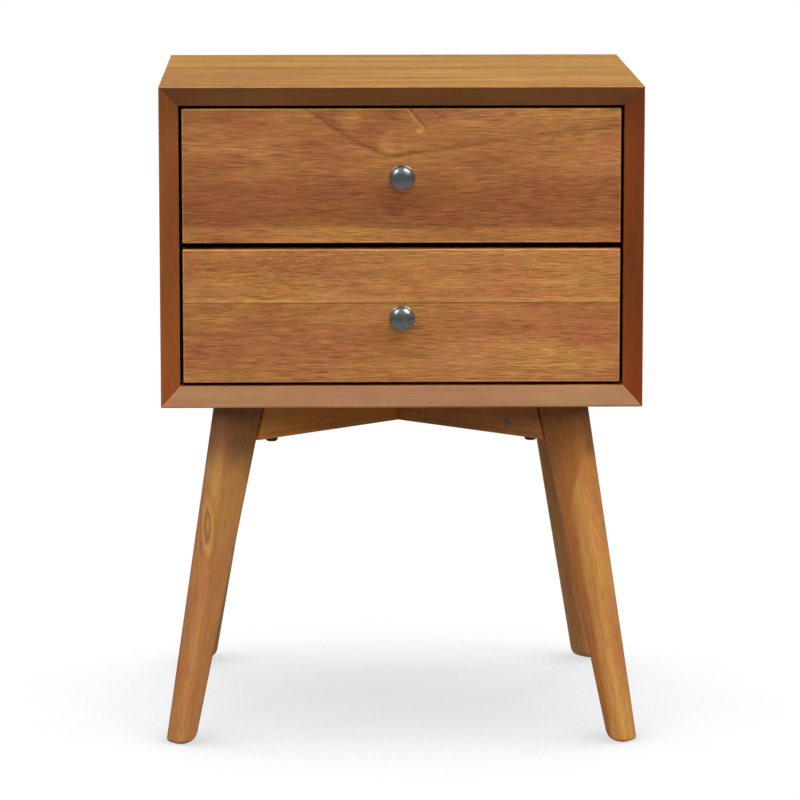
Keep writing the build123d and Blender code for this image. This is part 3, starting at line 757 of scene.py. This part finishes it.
class Leg:
    """One splayed leg: its middle line, its width along the diagonal and its plan directions."""

    def __init__(self, name):
        low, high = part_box(name)
        middle = (low + high) / 2
        outwards_x = math.copysign(math.cos(DIAGONAL), middle.x)
        outwards_y = math.copysign(math.sin(DIAGONAL), middle.y)
        self.towards = Vector((outwards_x, outwards_y, 0))
        self.sideways = Vector((-self.towards.y, self.towards.x, 0))
        self.height = high.z
        points = [vert.co for vert in frame["nodes"][name].data.vertices]
        self.top = self.middle_of([point for point in points if point.z > high.z - 0.001])
        self.foot = self.middle_of([point for point in points if point.z < low.z + 0.001])
        self.top.z, self.foot.z = high.z, low.z

    @staticmethod
    def middle_of(points):
        low = Vector(min(point[i] for point in points) for i in range(3))
        high = Vector(max(point[i] for point in points) for i in range(3))
        return (low + high) / 2

    def centre(self, z):
        return self.foot.lerp(self.top, z / self.height)

    def width(self, z):
        return LEG_FOOT_WIDTH + (LEG_TOP_WIDTH - LEG_FOOT_WIDTH) * z / self.height


def drawn_in(radius, z):
    """How far a face has drawn in at height z, for a foot edge of this radius."""
    return 0.0 if z >= radius else radius - math.sqrt(radius ** 2 - (radius - z) ** 2)


def rounded_outline(u_low, u_high, v_low, v_high, radius):
    """Corner points of a rounded rectangle, anticlockwise."""
    steps = 7
    radius = min(radius, 0.49 * (u_high - u_low), 0.49 * (v_high - v_low))
    corners = ((u_high, v_high, 0), (u_low, v_high, 90), (u_low, v_low, 180), (u_high, v_low, 270))
    points = []
    for u, v, start in corners:
        centre_u = u - math.copysign(radius, u - (u_low + u_high) / 2)
        centre_v = v - math.copysign(radius, v - (v_low + v_high) / 2)
        points += arc((centre_u, centre_v), (radius, radius), start, start + 90, steps)
    return points


def leg(name, material):
    """Tapered leg with softly rounded arrises and a rounded foot."""
    shape = Leg(name)
    shaft = shape.height - INNER_FOOT_ROUND
    heights = [INNER_FOOT_ROUND * (1 - math.cos(math.pi / 2 * k / FOOT_ROWS)) for k in range(FOOT_ROWS + 1)]
    heights += [INNER_FOOT_ROUND + shaft * k / SHAFT_ROWS for k in range(1, SHAFT_ROWS + 1)]
    work = bmesh.new()
    rows = []
    for z in heights:
        half = shape.width(z) / 2
        outer, inner = half - drawn_in(FOOT_ROUND, z), -half + drawn_in(INNER_FOOT_ROUND, z)
        flank = LEG_THICKNESS / 2 - drawn_in(FOOT_ROUND, z)
        centre = shape.centre(z)
        rows.append([
            work.verts.new(centre + shape.towards * u + shape.sideways * v)
            for u, v in rounded_outline(inner, outer, -flank, flank, LEG_ARRIS)
        ])
    for low, high in zip(rows, rows[1:]):
        join_rings(work, low, high)
    work.faces.new(rows[0])
    work.faces.new(rows[-1])
    bmesh.ops.recalc_face_normals(work, faces=work.faces)
    finish_piece(work, name, f"{name}_shaped", [material], 40)


class LegWood(Wood):
    """Wood whose grain follows a leg's splay.

    x and height place a point of its figure, and inner is the point's distance from the leg's inner
    radial face, in leg widths.
    """

    def __init__(self, name, seed, palette=LEG):
        shape = Leg(name)
        axis = (shape.top - shape.foot).normalized()
        across = shape.towards.cross(axis).cross(axis).normalized()
        super().__init__(f"{name}_grain", axis, across, seed, palette)
        self.x = self.along(X)
        self.height = self.along(Z)
        splay = (shape.top - shape.foot).dot(shape.towards) / shape.height
        taper = (LEG_TOP_WIDTH - LEG_FOOT_WIDTH) / shape.height
        centre = self.line(self.height, splay, shape.foot.dot(shape.towards))
        width = self.line(self.height, taper, LEG_FOOT_WIDTH)
        from_centre = self.less(self.along(shape.towards), centre)
        self.inner = self.add(self.math("DIVIDE", from_centre, width), 0.5)

    def finish_leg(self, **masks):
        return self.finish(self.rings(*LEG_PITH, LEG_RINGS), **masks, **LEG_LOOK)


def front_left_leg_wood():
    """A small knot on the outer part, under a paler outer strip; painted shade darkens the top, where the
    case shadows the leg.
    """
    knot_x, knot_z = -0.1855, 0.207
    half_x, half_z = 0.0030, 0.0145
    wood = LegWood("front_left_leg", 40.0)
    dx = wood.line(wood.x, 1 / half_x, -knot_x / half_x)
    dz = wood.line(wood.height, 1 / half_z, -knot_z / half_z)
    uneven = wood.times(wood.less(wood.layer(90, 260, shift=20), 0.5), 0.9)
    out = wood.add(wood.length(dx, dz), uneven)
    dark_ring = wood.step(wood.gap(out, 0.80), 0.10, 0.50, 0.50, 0.0)
    pale_ring = wood.step(wood.gap(out, 1.5), 0.05, 0.5, 0.35, 0.0)
    halo = wood.step(wood.gap(out, 2.4), 0.1, 0.5, 0.16, 0.0)
    outer_strip = wood.times(wood.step(wood.inner, 0.80, 0.92, 0.0, 0.15), wood.step(wood.height, 0.19, 0.25))
    red = wood.step(wood.height, 0.05, 0.20, 0.45, 0.28)
    # tone: a little darker above the knot, and much darker near the top, where painted shade stands for the
    # case's shadow.
    tone = wood.times(
        wood.step(wood.height, 0.16, 0.22, 1.0, 0.96), wood.step(wood.height, 0.25, 0.285, 1.0, 0.70),
    )
    return wood.finish_leg(
        dark=wood.larger(dark_ring, halo), pale=wood.larger(outer_strip, pale_ring), red=red, tone=tone,
    )


def front_right_leg_wood():
    """Golden wood with a redder heartwood strip along the inner part, which spreads across at the top."""
    wood = LegWood("front_right_leg", 43.0, tinted(LEG, 1.06, 1.02, 0.84))
    uneven = wood.times(wood.less(wood.layer(9, 60, shift=20, detail=3), 0.5), 0.16)
    edge = wood.add(wood.step(wood.height, 0.215, 0.30, 0.46, 1.15), uneven)
    heartwood = wood.step(wood.less(wood.inner, edge), -0.07, 0.07, 1.0, 0.0)
    return wood.finish_leg(red=wood.times(heartwood, 0.95), tone=wood.line(heartwood, -0.12, 1.03))


def base():
    leg("front_left_leg", front_left_leg_wood())
    leg("front_right_leg", front_right_leg_wood())
    for name, seed in (("back_left_leg", 46.0), ("back_right_leg", 49.0)):
        leg(name, LegWood(name, seed).finish_leg())
    rails = (
        ("front_left_to_back_right_rail", 1, 52.0, (1.38, 1.30, 1.02)),
        ("front_right_to_back_left_rail", -1, 53.0, (0.98, 0.88, 0.92)),
    )
    for name, side, seed, tint in rails:
        low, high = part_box(name)
        along = Vector((high.x - low.x, side * (high.y - low.y), 0)).normalized()
        palette = tinted(RAIL, *tint)
        soften(name, plain_wood(f"{name}_grain", along, Z, seed, palette=palette, streak=0.2, pores=0.2))


# ---------------------------------------------------------------- metals
def metal(name, colour, roughness, scratch=0.25, grain=(600, 600, 40)):
    """Plated or rolled steel with fine drawn lines and slight cloudiness."""
    cloud_scale, dulling = 70.0, 0.72
    graph = Graph(name)
    stretched = [graph.times(graph.along(axis), scale) for axis, scale in zip((X, Y, Z), grain)]
    lines = graph.noise(graph.point(*stretched))
    cloud = graph.noise(graph.scaled_place(cloud_scale))
    shade = graph.mix(graph.step(cloud, 0.35, 0.7), colour, brightened(colour, dulling))
    rough = graph.add(graph.line(lines, scratch, roughness - scratch / 2), graph.times(cloud, 0.08))
    return graph.surface(shade, rough, lines, depth=0.00004, strength=0.3, Metallic=1.0)


def knob_metal():
    """Dark pewter finish: hammered softly, darker in the hollows."""
    mottle_scale, fine_scale = 380.0, 2600.0
    graph = Graph("knob_pewter")
    mottle = graph.noise(graph.scaled_place(mottle_scale), detail=4, roughness=0.6)
    fine = graph.noise(graph.scaled_place(fine_scale), detail=2)
    shade = graph.mix(graph.step(mottle, 0.35, 0.65), (0.46, 0.505, 0.505), (0.31, 0.345, 0.345))
    height = graph.add(mottle, graph.times(fine, 0.4))
    rough = graph.line(mottle, 0.14, 0.24)
    return graph.surface(shade, rough, height, depth=0.00005, strength=0.2, Metallic=1.0)


def metals():
    finishes = dict(
        slide_steel=metal("slide_black", (0.045, 0.046, 0.048), 0.42, grain=(900, 30, 900)),
        bright_steel=metal("ball_steel", (0.74, 0.75, 0.77), 0.16, scratch=0.06),
        screw_steel=metal("screw_zinc", (0.50, 0.50, 0.48), 0.38),
        dark_steel=metal("dark_steel", (0.13, 0.115, 0.10), 0.42),
        insert_brass=metal("insert_brass", (0.62, 0.47, 0.21), 0.34),
    )
    for node, slot in node_slot.items():
        if slot in finishes:
            paint(node, finishes[slot])
    paint("barrel_nuts", metal("bronzed_steel", (0.56, 0.41, 0.26), 0.45))


# ---------------------------------------------------------------- studio
def sweep():
    """Pale floor running out to a far wall, with a soft contact shade; it lights nothing."""
    radius, wall_height = 26, 24
    shade_reach, in_shade, in_open = 0.45, 0.72, 1.02
    graph = Graph("sweep_white")
    open_sky = graph.node("AmbientOcclusion", (("Distance", shade_reach),), samples=12).outputs["AO"]
    shade = graph.step(open_sky, 0.62, 0.83, in_shade, in_open)
    glow = graph.node("Emission", (("Color", (0.995, 0.99, 1.0, 1.0)), ("Strength", shade)))
    end = graph.node("OutputMaterial")
    graph.tree.links.new(glow.outputs[0], end.inputs[0])
    work = bmesh.new()
    bmesh.ops.create_circle(work, cap_ends=True, segments=96, radius=radius)
    rim = [edge for edge in work.edges if edge.is_boundary]
    wall = bmesh.ops.extrude_edge_only(work, edges=rim)["geom"]
    raised = [part for part in wall if isinstance(part, bmesh.types.BMVert)]
    bmesh.ops.translate(work, verts=raised, vec=(0, 0, wall_height))
    mesh = bpy.data.meshes.new("sweep")
    work.to_mesh(mesh)
    work.free()
    mesh.materials.append(graph.material)
    sheet = bpy.data.objects.new("sweep", mesh)
    sheet.visible_diffuse = sheet.visible_glossy = sheet.visible_transmission = sheet.visible_shadow = False
    bpy.context.scene.collection.objects.link(sheet)


def softbox(name, azimuth, elevation, size, strength, distance=6, mirrored=True):
    """Square light aimed at the middle of the object; azimuth is counted from the front towards the right."""
    middle = Vector((0, 0, 0.4))
    turn, rise = math.radians(azimuth), math.radians(elevation)
    direction = (math.sin(turn) * math.cos(rise), -math.cos(turn) * math.cos(rise), math.sin(rise))
    offset = Vector(direction) * distance
    light = bpy.data.lights.new(name, "AREA")
    light.size = size
    light.energy = strength * math.pi ** 2 * distance ** 2
    lamp = bpy.data.objects.new(name, light)
    lamp.location = middle + offset
    lamp.rotation_euler = (-offset).to_track_quat("-Z", "Y").to_euler()
    lamp.visible_glossy = mirrored
    bpy.context.scene.collection.objects.link(lamp)


def surroundings():
    """White all round, dimmer towards the horizon than above and below."""
    level, steep = 0.1, 0.6
    dim, bright = 0.12, 0.26
    world = bpy.data.worlds.new("studio")
    bpy.context.scene.world = world
    world.use_nodes = True
    tree = world.node_tree
    background = tree.nodes["Background"]
    background.inputs["Color"].default_value = (1, 1, 1, 1)
    direction = tree.nodes.new("ShaderNodeTexCoord").outputs["Generated"]
    parts = tree.nodes.new("ShaderNodeSeparateXYZ")
    size = tree.nodes.new("ShaderNodeMath")
    size.operation = "ABSOLUTE"
    ramp = tree.nodes.new("ShaderNodeMapRange")
    for socket, value in (("From Min", level), ("From Max", steep), ("To Min", dim), ("To Max", bright)):
        ramp.inputs[socket].default_value = value
    tree.links.new(direction, parts.inputs[0])
    tree.links.new(parts.outputs["Z"], size.inputs[0])
    tree.links.new(size.outputs[0], ramp.inputs["Value"])
    tree.links.new(ramp.outputs[0], background.inputs["Strength"])


def lights():
    surroundings()
    softbox("right_box", azimuth=44, elevation=46, size=2.2, strength=0.38)
    softbox("left_box", azimuth=-48, elevation=41, size=1.8, strength=0.22)
    softbox("front_box", azimuth=0, elevation=26, size=2.0, strength=0.20, mirrored=False)
    softbox("top_box", azimuth=0, elevation=66, size=2.4, strength=0.36, distance=5, mirrored=False)
    softbox("right_fill", azimuth=72, elevation=15, size=2.4, strength=0.16, mirrored=False)
    softbox("left_fill", azimuth=-72, elevation=15, size=2.4, strength=0.20, mirrored=False)
    softbox("rear_right_box", azimuth=145, elevation=42, size=2.4, strength=0.14)
    softbox("rear_left_box", azimuth=-145, elevation=42, size=2.4, strength=0.14)


def camera():
    """Long lens a little above and left of the middle, looking slightly down."""
    data = bpy.data.cameras.new("camera")
    data.sensor_width = 36.0
    data.lens = 194.8
    data.clip_end = 60.0
    view = bpy.data.objects.new("camera", data)
    view.location = (-0.086, -4.246, 0.977)
    view.rotation_euler = Vector((0.0205, 0.9873, -0.1570)).to_track_quat("-Z", "Y").to_euler()
    bpy.context.scene.collection.objects.link(view)
    bpy.context.scene.camera = view


camera()
case()
drawers()
base()
metals()
sweep()
lights()
bpy.context.scene.view_settings.view_transform = "Standard"
